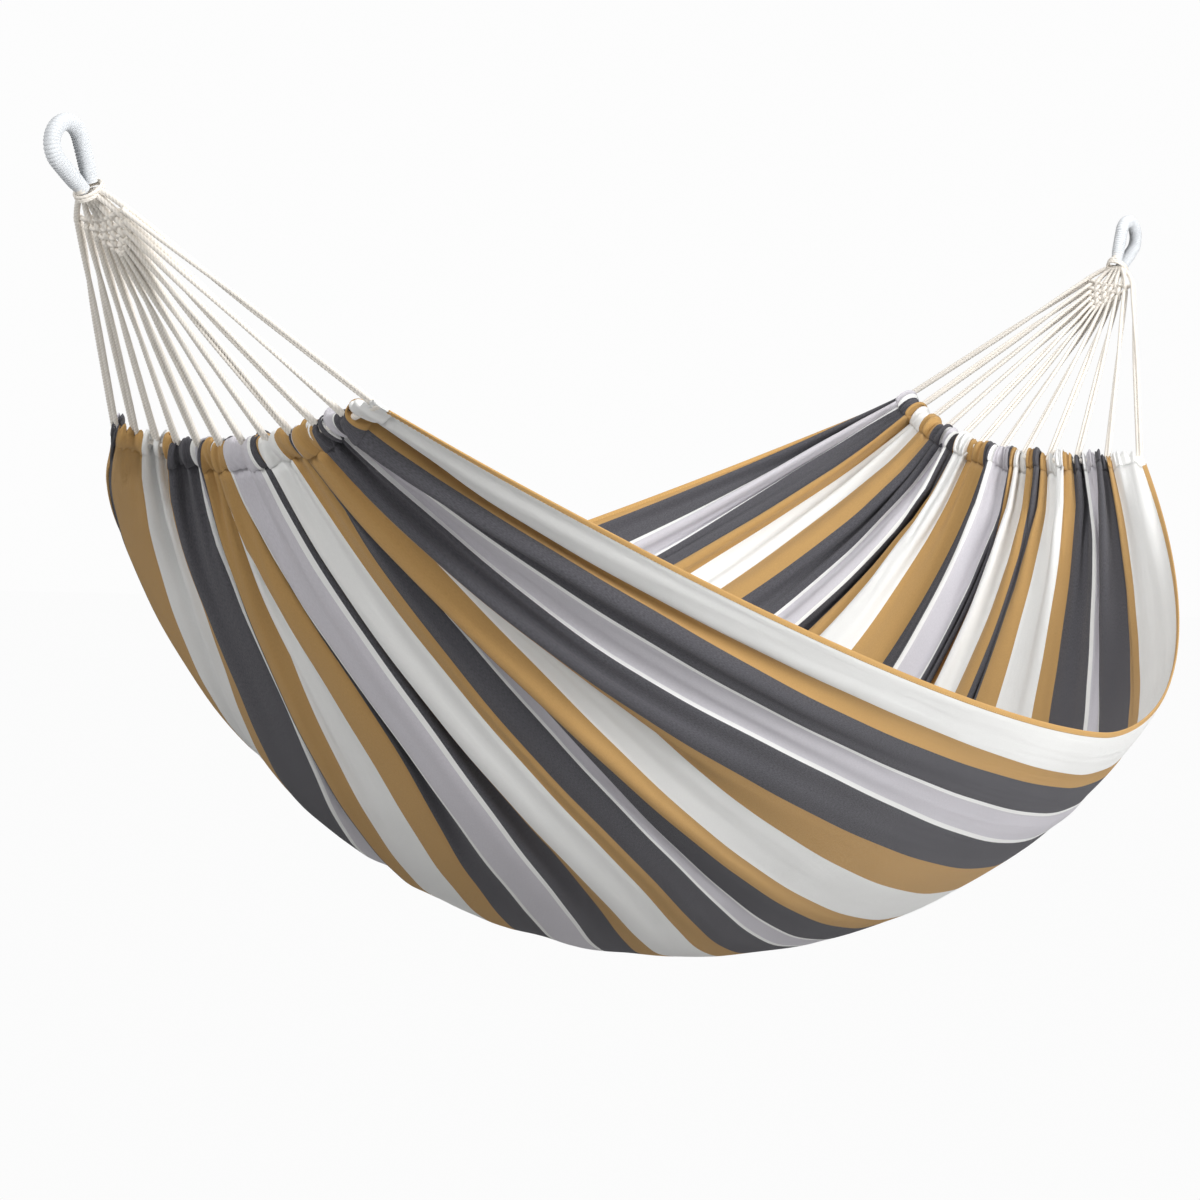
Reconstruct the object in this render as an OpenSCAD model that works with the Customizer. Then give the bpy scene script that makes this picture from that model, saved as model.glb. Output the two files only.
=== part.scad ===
// Double cloth hammock hung by two served eyes.
// Millimetres. +X runs from the left eye to the right eye, -Y is the near side, +Z is up.
// The origin is the inside of the left eye's crown, where its hook bears.

/* [Hanging] */
// Distance between the two hooks
hook_span = 2530; // [2500:10:2560]
// Slope of both eyes below the horizontal, in degrees
eye_angle = 53; // [48:1:58]

/* [Eye] */
// Centreline radius of the round part of an eye
eye_r = 24; // [22:1:27]
// Radius of the served rope of an eye
eye_rope_r = 9.5; // [8.5:0.5:10]
// Thickness of the serving around the eye's core
serving_t = 2.4; // [1.5:0.1:3]
// Angle by which each leg closes in towards the neck, in degrees
leg_angle = 15; // [13:1:18]

/* [Neck and clew] */
// Radius of the cord bundle's ball in the neck
neck_r = 5; // [4:0.5:6]
// Outer radius of the whipping collar
collar_r = 16; // [15:0.5:17]
// Number of turns of whipping
collar_turns = 3; // [2:1:4]
// Half of the clew's width under the collar
clew_top_half = 10; // [9:1:11]
// Half of the clew's width where its outermost cords leave it
clew_half = 46; // [44:1:50]
// Length of the clew down to where its outermost cords leave it
clew_shoulder = 18; // [16:1:24]
// Length of the clew down to its tip
clew_length = 68; // [60:1:76]
// Thickness of the woven clew
clew_t = 9; // [7:0.5:11]

/* [Suspension cords] */
// Number of doubled cords at each end
cord_count = 12; // [10:1:12]
// Diameter of one doubled cord
cord_d = 8; // [6:0.5:8.5]

/* [Sheet] */
// Flat width of the sheet, from hem to hem
sheet_width = 1600; // [1500:10:1700]
// Thickness of the sheet
sheet_t = 1.6; // [1.4:0.1:2.4]
// Width of the bound hem along each long edge
hem_width = 12; // [10:1:15]
// Thickness of the bound hem
hem_t = 3.6; // [3:0.1:5]
// Outer radius of the sewn sleeve at each end
sleeve_r = 11; // [10:0.5:12]
// Radius of the cord inside each sleeve
edge_cord_r = 4.5; // [4:0.5:5]

/* [Corners of the sheet] */
// Distance of a corner from the middle of the hammock
corner_reach = 1040; // [1020:5:1060]
// Lengthwise shift of the far corners against the near corners
corner_skew = 60; // [0:5:80]
// Half of the distance across from the near corner to the far corner
corner_half_width = 242; // [220:2:260]
// Sideways shift of the left end against the right end
end_shift = 71; // [0:1:80]
// Depth of the corners below the hooks
corner_drop = 308; // [290:2:320]
// How much higher the far corners hang than the mean
corner_tilt = 19; // [0:1:25]
// How much the two ends are twisted against each other
corner_twist = 30; // [0:1:35]

/* [Shape of the bed] */
// How far the middle of a gathered end curves in
end_inset = 100; // [80:5:110]
// How far the middle of a gathered end curves down
end_sag = 38; // [30:1:45]
// Half of the mouth's width in the middle of the bed
mouth_half_width = 670; // [640:5:690]
// Depth of the belly below the hems
belly_depth = 380; // [360:5:400]
// Roundness of the belly: 1 is an ellipse, more is a narrower keel
belly_power = 1.62; // [1.5:0.02:1.8]
// Depth of the mouth's centre below the hooks
mouth_drop = 639; // [620:1:660]
// Tilt of the mouth up to the far side, in degrees
mouth_tilt = 5.5; // [0:0.5:7]
// Power of the hems' sag along the bed
hem_sag_power = 1.65; // [1.6:0.05:1.9]
// Power of the belly's sag along the bed
belly_sag_power = 2.12; // [2:0.02:2.3]

/* [Hidden] */
$fn = 48;

gap = 0.4;            // clearance between neighbouring solids
mouth_ahead = 24;     // the deepest section sits this far past the middle
mouth_far = 52;       // and this far towards the far side
end_lean = [44, 47];  // sideways lean of the gathered ends: opposed part, shared part
first_foot = 0.012;   // share of the sheet's width before the first cord

sheet_rows = 48;      // facets along the sheet
sheet_columns = 34;   // facets across the sheet
arc_rows = 30;        // facets along a gathered end
belly_steps = 90;     // samples that space the belly's section evenly
hem_share = hem_width / sheet_width;

mid = [hook_span / 2, 0, 0];
leg_half_gap = eye_rope_r + 0.3;
leg_length = (eye_r * cos(leg_angle) - leg_half_gap) / sin(leg_angle);
crown_s = -eye_rope_r;
neck_s = crown_s + eye_r * (1 + sin(leg_angle)) + leg_length * cos(leg_angle);
turn_r = 1.8;         // radius of the whipping cord
collar_s = neck_s + gap;
pivot_s = collar_s + 2 * turn_r * collar_turns + 1;
stem_length = 8;      // how far the bundle reaches up into the collar
clew_s = pivot_s + neck_r + 1.5;
axis_x = cos(eye_angle);
axis_z = -sin(eye_angle);

function two_digits(i) = str(i < 10 ? "0" : "", i);
function cord_name(side, i) = str(side, "_cord_", two_digits(i + 1));
function side_sign(side) = side == "left" ? -1 : 1;

// ---- shape of the sheet: u runs from -1 (left end) to 1 (right end), v from 0 (near) to 1 (far)

function blend(a, b, t) = a + (b - a) * t;
function unit(a) = a / norm(a);

function corner(end, edge) = mid + [
    end * corner_reach + edge * corner_skew,
    edge * corner_half_width + end * end_shift,
    -corner_drop + edge * corner_tilt + end * edge * corner_twist
];

function end_line(end, v) = blend(corner(end, -1), corner(end, 1), v)
    + 4 * v * (1 - v) * [-end * end_inset, -end * end_lean[0] + end_lean[1], -end_sag];

function belly_point(angle) = [-mouth_half_width * cos(angle), -belly_depth * pow(sin(angle), belly_power)];

belly_chords = [for (i = [0 : belly_steps - 1])
    norm(belly_point((i + 1) * 180 / belly_steps) - belly_point(i * 180 / belly_steps))];
belly_length = belly_chords * [for (c = belly_chords) 1];
belly_table = [for (i = 0, run = 0; i <= belly_steps; run = run + (i < belly_steps ? belly_chords[i] : 0), i = i + 1)
    [run / belly_length, i * 180 / belly_steps]];

function belly_section(v) = let (p = belly_point(lookup(v, belly_table))) mid + [
    mouth_ahead,
    mouth_far + cos(mouth_tilt) * p[0] - sin(mouth_tilt) * p[1],
    -mouth_drop + sin(mouth_tilt) * p[0] + cos(mouth_tilt) * p[1]
];

function sheet_point(u, v) = let (
    left_end = end_line(-1, v),
    right_end = end_line(1, v),
    power = blend(hem_sag_power, belly_sag_power, sin(180 * v)),
    sag = 1 - pow(abs(u), power)
) blend(left_end, right_end, (1 + u) / 2) + sag * (belly_section(v) - (left_end + right_end) / 2);

probe = 0.002;  // step of the finite differences
function along(u, v) = unit(sheet_point(min(u + probe, 1), v) - sheet_point(max(u - probe, -1), v));
function across(u, v) = unit(sheet_point(u, min(v + probe, 1)) - sheet_point(u, max(v - probe, 0)));
function sheet_normal(u, v) = unit(cross(along(u, v), across(u, v)));
function end_speed(end, v) = norm(sheet_point(end, v) - sheet_point(end * (1 - probe), v)) / probe;
function end_u(end, v) = end * (1 - (sleeve_r + 2 * gap) / end_speed(end, v));

// ---- closed solids from grids and rings of points

function quad(a, b, c, d) = [[a, b, c], [a, c, d]];

// A closed plate over the part of the sheet from v0 to v1
module sheet_plate(v0, v1, rows, columns, thickness) {
    function place(i, j, face) = let (
        v = blend(v0, v1, j / columns),
        u = blend(end_u(-1, v), end_u(1, v), i / rows)
    ) sheet_point(u, v) + face * thickness / 2 * sheet_normal(u, v);
    function at(i, j, face) = (face * (rows + 1) + i) * (columns + 1) + j;
    points = [for (face = [-1, 1], i = [0 : rows], j = [0 : columns]) place(i, j, face)];
    faces = concat(
        [for (i = [0 : rows - 1], j = [0 : columns - 1])
            each quad(at(i, j, 0), at(i + 1, j, 0), at(i + 1, j + 1, 0), at(i, j + 1, 0))],
        [for (i = [0 : rows - 1], j = [0 : columns - 1])
            each quad(at(i, j + 1, 1), at(i + 1, j + 1, 1), at(i + 1, j, 1), at(i, j, 1))],
        [for (i = [0 : rows - 1])
            each quad(at(i, 0, 1), at(i + 1, 0, 1), at(i + 1, 0, 0), at(i, 0, 0))],
        [for (i = [0 : rows - 1])
            each quad(at(i, columns, 0), at(i + 1, columns, 0), at(i + 1, columns, 1), at(i, columns, 1))],
        [for (j = [0 : columns - 1])
            each quad(at(0, j + 1, 1), at(0, j, 1), at(0, j, 0), at(0, j + 1, 0))],
        [for (j = [0 : columns - 1])
            each quad(at(rows, j, 1), at(rows, j + 1, 1), at(rows, j + 1, 0), at(rows, j, 0))]
    );
    polyhedron(points, faces);
}

// Points of one ring around a gathered end
function end_ring(end, v, radius, sides) = let (
    line = unit(end_line(end, v + probe) - end_line(end, v - probe)),
    out = unit(cross(line, along(end, v))),
    side = cross(out, line)
) [for (k = [0 : sides - 1])
    end_line(end, v) + radius * (cos(360 * k / sides) * side + sin(360 * k / sides) * out)];

// A round bar along a gathered end; a bore of more than 0 makes it a tube
module end_bar(end, radius, bore, sides, margin) {
    stations = [for (i = [0 : arc_rows]) blend(margin, 1 - margin, i / arc_rows)];
    last = arc_rows * sides;
    inner = (arc_rows + 1) * sides;
    outer_points = [for (v = stations) each end_ring(end, v, radius, sides)];
    inner_points = [for (v = stations) each end_ring(end, v, bore, sides)];
    function wall(start, turn) = [for (i = [0 : arc_rows - 1], k = [0 : sides - 1]) let (
        next = (k + 1) % sides,
        a = start + i * sides + k,
        b = start + i * sides + next,
        c = b + sides,
        d = a + sides
    ) each turn ? quad(a, b, c, d) : quad(d, c, b, a)];
    function rim(row, turn) = [for (k = [0 : sides - 1]) let (
        next = (k + 1) % sides,
        a = row + k,
        b = row + next
    ) each turn ? quad(a, inner + a, inner + b, b) : quad(b, inner + b, inner + a, a)];
    if (bore > 0) {
        polyhedron(concat(outer_points, inner_points),
            concat(wall(0, false), wall(inner, true), rim(0, false), rim(last, true)));
    } else {
        polyhedron(outer_points, concat(wall(0, false),
            [[for (k = [0 : sides - 1]) k], [for (k = [sides - 1 : -1 : 0]) last + k]]));
    }
}

// ---- eye, neck and clew, drawn for the left end

// Puts a drawing that has the neck's axis along X into the left end's slope
module on_slope() {
    rotate([0, eye_angle, 0]) rotate([90, 0, 0]) children();
}

// Turns a left-end drawing, which is the same on its near and far side, to the right end
module at_end(side) {
    if (side == "left") children();
    else translate([hook_span, 0, 0]) rotate(180) children();
}

// The teardrop of the eye, between two radii of its rope
module eye_rope(outer, inner) {
    module section() {
        difference() {
            circle(outer);
            if (inner > 0) circle(inner);
        }
    }
    difference() {
        translate([crown_s + eye_r, 0, 0]) {
            rotate(90 - leg_angle) rotate_extrude(angle = 180 + 2 * leg_angle) translate([eye_r, 0]) section();
            for (leg = [-1, 1]) {
                rotate(leg * (90 - leg_angle)) translate([eye_r, 0, 0]) rotate([leg * 90, 0, 0])
                    linear_extrude(leg_length) section();
            }
        }
        // The legs end flat under the collar
        translate([neck_s, -2 * eye_r, -eye_r]) cube([eye_r, 4 * eye_r, 2 * eye_r]);
    }
}

module eye_core(side) {
    color("ivory") at_end(side) on_slope() eye_rope(eye_rope_r - serving_t - 0.05, 0);
}

module eye_serving(side) {
    color("whitesmoke") at_end(side) on_slope() eye_rope(eye_rope_r, eye_rope_r - serving_t);
}

// The bundle of cords in the neck: it flexes where its ball turns under the collar
module neck_bundle(side) {
    color("linen") at_end(side) on_slope() translate([pivot_s, 0, 0]) rotate([0, -90, 0])
        rotate_extrude() intersection() {
            union() {
                circle(neck_r);
                square([neck_r - 1, stem_length]);
            }
            translate([0, -neck_r]) square([neck_r, neck_r + stem_length]);
        }
}

module collar(side) {
    color("cornsilk") at_end(side) on_slope()
        for (turn = [0 : collar_turns - 1]) {
            translate([collar_s + (2 * turn + 1) * turn_r, 0, 0]) rotate([0, 90, 0])
                rotate_extrude() translate([collar_r - turn_r, 0]) circle(turn_r);
        }
}

function slope_point(side, s) = let (x = s * axis_x) [side == "left" ? x : hook_span - x, 0, s * axis_z];
function foot_share(i) = blend(first_foot, 1 - first_foot, i / (cord_count - 1));
function cord_foot(side, i) = end_line(side_sign(side), foot_share(i));

// The fan's own frame: its top, its way down to the sleeve, its way across to the far side, its face
function fan_top(side) = slope_point(side, clew_s);
function fan_down(side) = unit((cord_foot(side, 0) + cord_foot(side, cord_count - 1)) / 2
    + [0, 0, -end_sag] - fan_top(side));
function fan_face(side) = unit(cross(fan_down(side), cord_foot(side, cord_count - 1) - cord_foot(side, 0)));
function fan_across(side) = cross(fan_face(side), fan_down(side));
function fan_point(side, down, over) = fan_top(side) + down * fan_down(side) + over * fan_across(side);

// Where cord i leaves the clew: the outermost first, the middle ones at its tip
function cord_exit(side, i) = let (w = 2 * i / (cord_count - 1) - 1)
    fan_point(side, blend(clew_length, clew_shoulder, pow(abs(w), 1.5)), w * clew_half);
function cord_line(side, i) = unit(cord_foot(side, i) - cord_exit(side, i));

// The woven fan: a flat plate from the collar to where the cords part
module clew(side) {
    half = fan_face(side) * clew_t / 2;
    outline = concat(
        [fan_point(side, 0, clew_top_half), fan_point(side, 0, -clew_top_half)],
        [for (i = [0 : cord_count - 1]) cord_exit(side, i)]
    );
    count = len(outline);
    back = [for (i = [0 : count - 1]) i];
    front = [for (i = [count - 1 : -1 : 0]) count + i];
    rim = [for (i = [0 : count - 1]) let (next = (i + 1) % count) [next, i, count + i, count + next]];
    color("linen") polyhedron(concat([for (p = outline) p - half], [for (p = outline) p + half]),
        concat([back], [front], rim));
}

// The end of the weft cord: a small knot under the tip of the clew
module clew_tie(side) {
    tie_r = 6;
    outer_face = fan_face(side)[2] < 0 ? 1 : -1;
    place = fan_point(side, clew_length - 2 * tie_r, 0)
        + outer_face * (clew_t / 2 + tie_r + gap) * fan_face(side);
    color("linen") translate(place) sphere(tie_r);
}

module suspension_cord(side, i) {
    start_gap = 7;
    aim = cord_line(side, i);
    run = norm(cord_foot(side, i) - cord_exit(side, i)) - start_gap - sleeve_r - gap - cord_d / 4;
    color("linen") translate(cord_exit(side, i) + start_gap * aim) rotate([0, acos(aim[2]), atan2(aim[1], aim[0])])
        cylinder(h = run, d = cord_d);
}

// ---- cloth

module edge_cord(side) {
    color("linen") end_bar(side_sign(side), edge_cord_r, 0, 8, 0.01);
}

module sleeve(side) {
    color("tan") end_bar(side_sign(side), sleeve_r, edge_cord_r + 1.5, 10, 0.004);
}

module sheet() {
    color("lightgray") sheet_plate(hem_share, 1 - hem_share, sheet_rows, sheet_columns, sheet_t);
}

module near_hem() {
    color("peru") sheet_plate(0, hem_share * 0.96, sheet_rows, 1, hem_t);
}

module far_hem() {
    color("peru") sheet_plate(1 - hem_share * 0.96, 1, sheet_rows, 1, hem_t);
}

sheet();
near_hem();
far_hem();
for (side = ["left", "right"]) {
    eye_core(side);
    eye_serving(side);
    neck_bundle(side);
    collar(side);
    clew(side);
    clew_tie(side);
    edge_cord(side);
    sleeve(side);
    for (i = [0 : cord_count - 1]) {
        suspension_cord(side, i);
    }
}
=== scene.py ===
"""Visual model of a double cloth hammock that hangs by two served eyes.

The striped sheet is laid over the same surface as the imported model's sheet, with pleats whose
depth follows from the slack between the sheet's flat width and the narrow gathered ends.
"""
import logging
import math
from dataclasses import dataclass, field
from enum import Enum
from typing import Callable

import bmesh
import bpy
import numpy as np
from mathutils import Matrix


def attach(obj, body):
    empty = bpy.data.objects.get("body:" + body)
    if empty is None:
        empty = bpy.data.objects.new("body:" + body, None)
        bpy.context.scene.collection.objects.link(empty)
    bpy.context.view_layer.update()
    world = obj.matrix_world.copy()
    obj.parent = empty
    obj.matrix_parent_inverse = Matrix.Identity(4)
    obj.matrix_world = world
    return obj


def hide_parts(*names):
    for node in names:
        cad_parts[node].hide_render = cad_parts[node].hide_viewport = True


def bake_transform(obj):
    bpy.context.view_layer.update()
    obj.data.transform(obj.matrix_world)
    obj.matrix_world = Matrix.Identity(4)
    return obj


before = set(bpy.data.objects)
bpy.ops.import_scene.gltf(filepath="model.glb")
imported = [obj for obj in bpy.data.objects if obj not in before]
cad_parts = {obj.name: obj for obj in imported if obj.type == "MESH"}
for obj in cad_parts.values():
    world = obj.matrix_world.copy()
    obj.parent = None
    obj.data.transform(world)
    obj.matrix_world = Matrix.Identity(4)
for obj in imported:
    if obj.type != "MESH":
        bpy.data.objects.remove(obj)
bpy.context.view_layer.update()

log = logging.getLogger("hammock")

Vec = np.ndarray
MM = 0.001


class Side(Enum):
    """The two ends of the hammock."""

    LEFT = "left"
    RIGHT = "right"

    @property
    def sign(self) -> int:
        """-1 at the left end, 1 at the right end."""
        return -1 if self is Side.LEFT else 1

    @property
    def eye_body(self) -> str:
        """The body of this end's eye."""
        return f"{self.value}_eye"


# ---------------------------------------------------------------- small maths


def unit(a: Vec) -> Vec:
    """Vectors along the last axis, brought to length 1."""
    return a / np.linalg.norm(a, axis=-1, keepdims=True)


def smooth(x: Vec, low: float, high: float) -> Vec:
    """A soft step from 0 at low to 1 at high."""
    t = np.clip((x - low) / (high - low), 0.0, 1.0)
    return t * t * (3.0 - 2.0 * t)


def running_sum(values: Vec, step: float) -> Vec:
    """The trapezoid integral along the last axis, starting at 0."""
    mean = 0.5 * (values[..., 1:] + values[..., :-1]) * step
    start = np.zeros(values.shape[:-1] + (1,))
    return np.concatenate([start, np.cumsum(mean, axis=-1)], axis=-1)


def linear(srgb: tuple[int, int, int]) -> tuple[float, float, float, float]:
    """An 8-bit display colour as the linear colour that a shader takes."""
    def one(c: int) -> float:
        """One channel."""
        x = c / 255.0
        return x / 12.92 if x <= 0.04045 else ((x + 0.055) / 1.055) ** 2.4

    return one(srgb[0]), one(srgb[1]), one(srgb[2]), 1.0


# ---------------------------------------------------------------- shape of the bed


@dataclass(frozen=True)
class BedShape:
    """The smooth surface that the sheet hangs in, in metres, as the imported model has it.

    u runs from -1 at the left end to 1 at the right end, w from 0 at the near hem to 1 at the far hem.

    Attributes:
        hook_span: distance between the two hooks.
        flat_length, flat_width: size of the sheet laid flat.
        corner_reach, corner_half_width, corner_drop: how far a corner is from the middle along the bed
            and across it, and below the hooks.
        corner_skew: how far the far corners are moved to the right, and the near ones to the left.
        end_shift: how far the right end is moved to the far side, and the left end to the near side.
        corner_tilt: how far the far corners are raised, and the near ones lowered.
        corner_twist: the same, added at the right end and taken off at the left end.
        end_inset, end_lean, end_sag: bow of an end's line at its middle: towards the bed, sideways (a
            part that is turned round at the other end, and one that isn't), and down.
        mouth_half_width, belly_depth, belly_power: half width, depth and fullness of the deepest section.
        mouth_drop: how far below the hooks that section's upper edges are.
        mouth_tilt: how far it is turned, with its far side up.
        mouth_ahead, mouth_far: how far it is moved to the right and to the far side.
        hem_sag_power, belly_sag_power: how evenly the sag comes on, at the hems and in mid-cloth.
        belly_steps: pieces into which the deepest section is cut to measure it.
    """

    hook_span: float = 2.530
    flat_length: float = 2.400
    flat_width: float = 1.600
    corner_reach: float = 1.040
    corner_skew: float = 0.060
    corner_half_width: float = 0.242
    end_shift: float = 0.071
    corner_drop: float = 0.308
    corner_tilt: float = 0.019
    corner_twist: float = 0.030
    end_inset: float = 0.100
    end_lean: tuple[float, float] = (0.044, 0.047)
    end_sag: float = 0.038
    mouth_half_width: float = 0.670
    belly_depth: float = 0.380
    belly_power: float = 1.62
    mouth_drop: float = 0.639
    mouth_tilt: float = math.radians(5.5)
    mouth_ahead: float = 0.024
    mouth_far: float = 0.052
    hem_sag_power: float = 1.65
    belly_sag_power: float = 2.12
    belly_steps: int = 360

    def corner(self, end: int, edge: int) -> Vec:
        """A corner of the sheet: end is -1 or 1 along the bed, edge is -1 near and 1 far."""
        return np.array([
            self.hook_span / 2 + end * self.corner_reach + edge * self.corner_skew,
            edge * self.corner_half_width + end * self.end_shift,
            -self.corner_drop + edge * self.corner_tilt + end * edge * self.corner_twist,
        ])

    def end_line(self, end: int, w: Vec) -> Vec:
        """Points of a gathered end, from the near corner to the far corner."""
        w = np.asarray(w, float)[..., None]
        bow = np.array([
            -end * self.end_inset,
            -end * self.end_lean[0] + self.end_lean[1],
            -self.end_sag,
        ])
        near, far = self.corner(end, -1), self.corner(end, 1)
        return near + (far - near) * w + 4 * w * (1 - w) * bow

    def belly_section(self, w: Vec) -> Vec:
        """Points of the deepest section across the bed, evenly spaced along it."""
        angle = np.linspace(0.0, math.pi, self.belly_steps + 1)
        y = -self.mouth_half_width * np.cos(angle)
        z = -self.belly_depth * np.sin(angle).clip(0.0) ** self.belly_power
        run = np.concatenate([[0.0], np.cumsum(np.hypot(np.diff(y), np.diff(z)))])
        y = np.interp(w, run / run[-1], y)
        z = np.interp(w, run / run[-1], z)
        c, s = math.cos(self.mouth_tilt), math.sin(self.mouth_tilt)
        x = np.full_like(y, self.hook_span / 2 + self.mouth_ahead)
        return np.stack([x, self.mouth_far + c * y - s * z, -self.mouth_drop + s * y + c * z], -1)

    def point(self, u: Vec, w: Vec) -> Vec:
        """Points of the smooth surface."""
        u, w = np.broadcast_arrays(np.asarray(u, float), np.asarray(w, float))
        left, right = self.end_line(-1, w), self.end_line(1, w)
        belly = np.sin(math.pi * w.clip(0.0, 1.0))
        power = self.hem_sag_power + (self.belly_sag_power - self.hem_sag_power) * belly
        sag = (1.0 - np.abs(u) ** power)[..., None]
        along = (0.5 * (1.0 + u))[..., None]
        return left + (right - left) * along + sag * (self.belly_section(w) - 0.5 * (left + right))

    def frames(self, u: Vec, w: Vec) -> tuple[Vec, Vec, Vec]:
        """Directions along the bed, across it and into it.

        Args:
            u: places along the bed.
            w: places across it.

        Returns:
            Unit vectors to the right end, to the far hem, and square to both on the lying side.
        """
        h = 0.002
        along = self.point(np.minimum(u + h, 1.0), w) - self.point(np.maximum(u - h, -1.0), w)
        across = self.point(u, np.minimum(w + h, 1.0)) - self.point(u, np.maximum(w - h, 0.0))
        along, across = unit(along), unit(across)
        inward = unit(np.cross(along, across))
        return along, np.cross(inward, along), inward


@dataclass(frozen=True)
class BandEdge:
    """An edge of a woven band: where it is on the flat sheet, and where it lies on the hung one.

    Attributes:
        flat: distance from the near hem on the flat sheet.
        places: share of the way across the bed, at each of the gather's stations.
    """

    flat: float
    places: tuple[float, ...]


@dataclass(frozen=True)
class Gather:
    """Where the cloth lies across the bed: close edges mean that the band between is tucked away.

    Attributes:
        flat_width: the sheet's width laid flat.
        stations: the u at which the places of the edges are given.
        edges: the edges of the bands, from the near hem on.
    """

    flat_width: float
    stations: tuple[float, ...] = (-0.96, -0.76, -0.46, 0.0, 0.76, 0.94)
    edges: tuple[BandEdge, ...] = (
        BandEdge(12 * MM, (0.012, 0.010, 0.006, 0.006, 0.010, 0.012)),
        BandEdge(74 * MM, (0.079, 0.060, 0.040, 0.042, 0.087, 0.087)),
        BandEdge(112 * MM, (0.085, 0.065, 0.058, 0.055, 0.101, 0.100)),
        BandEdge(172 * MM, (0.117, 0.100, 0.084, 0.085, 0.143, 0.127)),
        BandEdge(236 * MM, (0.165, 0.155, 0.120, 0.125, 0.165, 0.155)),
        BandEdge(296 * MM, (0.200, 0.180, 0.158, 0.160, 0.227, 0.200)),
        BandEdge(334 * MM, (0.204, 0.182, 0.190, 0.210, 0.241, 0.220)),
        BandEdge(396 * MM, (0.214, 0.217, 0.234, 0.262, 0.312, 0.277)),
        BandEdge(434 * MM, (0.260, 0.243, 0.248, 0.283, 0.345, 0.303)),
        BandEdge(494 * MM, (0.266, 0.256, 0.273, 0.318, 0.347, 0.305)),
        BandEdge(558 * MM, (0.270, 0.266, 0.281, 0.345, 0.350, 0.308)),
        BandEdge(618 * MM, (0.282, 0.303, 0.312, 0.385, 0.353, 0.311)),
        BandEdge(656 * MM, (0.327, 0.319, 0.327, 0.410, 0.388, 0.345)),
        BandEdge(718 * MM, (0.395, 0.376, 0.373, 0.452, 0.427, 0.385)),
        BandEdge(816 * MM, (0.403, 0.388, 0.407, 0.510, 0.451, 0.403)),
        BandEdge(880 * MM, (0.533, 0.465, 0.463, 0.550, 0.495, 0.455)),
        BandEdge(940 * MM, (0.539, 0.469, 0.495, 0.588, 0.527, 0.492)),
        BandEdge(978 * MM, (0.565, 0.513, 0.524, 0.612, 0.593, 0.567)),
        BandEdge(1040 * MM, (0.575, 0.575, 0.590, 0.652, 0.647, 0.600)),
        BandEdge(1078 * MM, (0.617, 0.602, 0.603, 0.676, 0.667, 0.620)),
        BandEdge(1138 * MM, (0.622, 0.605, 0.617, 0.713, 0.682, 0.632)),
        BandEdge(1202 * MM, (0.665, 0.613, 0.643, 0.753, 0.727, 0.690)),
        BandEdge(1262 * MM, (0.752, 0.700, 0.720, 0.790, 0.770, 0.720)),
        BandEdge(1300 * MM, (0.790, 0.750, 0.760, 0.814, 0.822, 0.815)),
        BandEdge(1362 * MM, (0.875, 0.812, 0.805, 0.852, 0.865, 0.857)),
        BandEdge(1400 * MM, (0.996, 0.982, 0.840, 0.876, 0.882, 0.864)),
        BandEdge(1460 * MM, (0.997, 0.987, 0.885, 0.914, 0.925, 0.943)),
        BandEdge(1524 * MM, (0.998, 0.992, 0.930, 0.953, 0.952, 0.958)),
        BandEdge(1588 * MM, (0.999, 0.997, 0.988, 0.993, 0.992, 0.990)),
    )

    def place(self, u: Vec, v: Vec) -> Vec:
        """Shares of the way across the bed, rows by columns, for rows u and flat shares v."""
        stations = np.array(self.stations)
        table = np.array([edge.places for edge in self.edges])
        slopes = np.gradient(table, stations, axis=1)
        spot = np.clip(u, stations[0], stations[-1])
        k = np.clip(np.searchsorted(stations, spot) - 1, 0, len(stations) - 2)
        gap = stations[k + 1] - stations[k]
        t = (spot - stations[k]) / gap
        rows = (
            table[:, k] * (1 + 2 * t) * (1 - t) ** 2
            + table[:, k + 1] * t * t * (3 - 2 * t)
            + slopes[:, k] * gap * t * (1 - t) ** 2
            - slopes[:, k + 1] * gap * t * t * (1 - t)
        ).T
        flat = np.concatenate([[0.0], [edge.flat for edge in self.edges], [self.flat_width]])
        ends = np.zeros((len(u), 1)), np.ones((len(u), 1))
        rows = np.maximum.accumulate(np.concatenate([ends[0], rows, ends[1]], axis=1), axis=1)
        return np.stack([np.interp(v * self.flat_width, flat, row) for row in rows])


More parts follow.
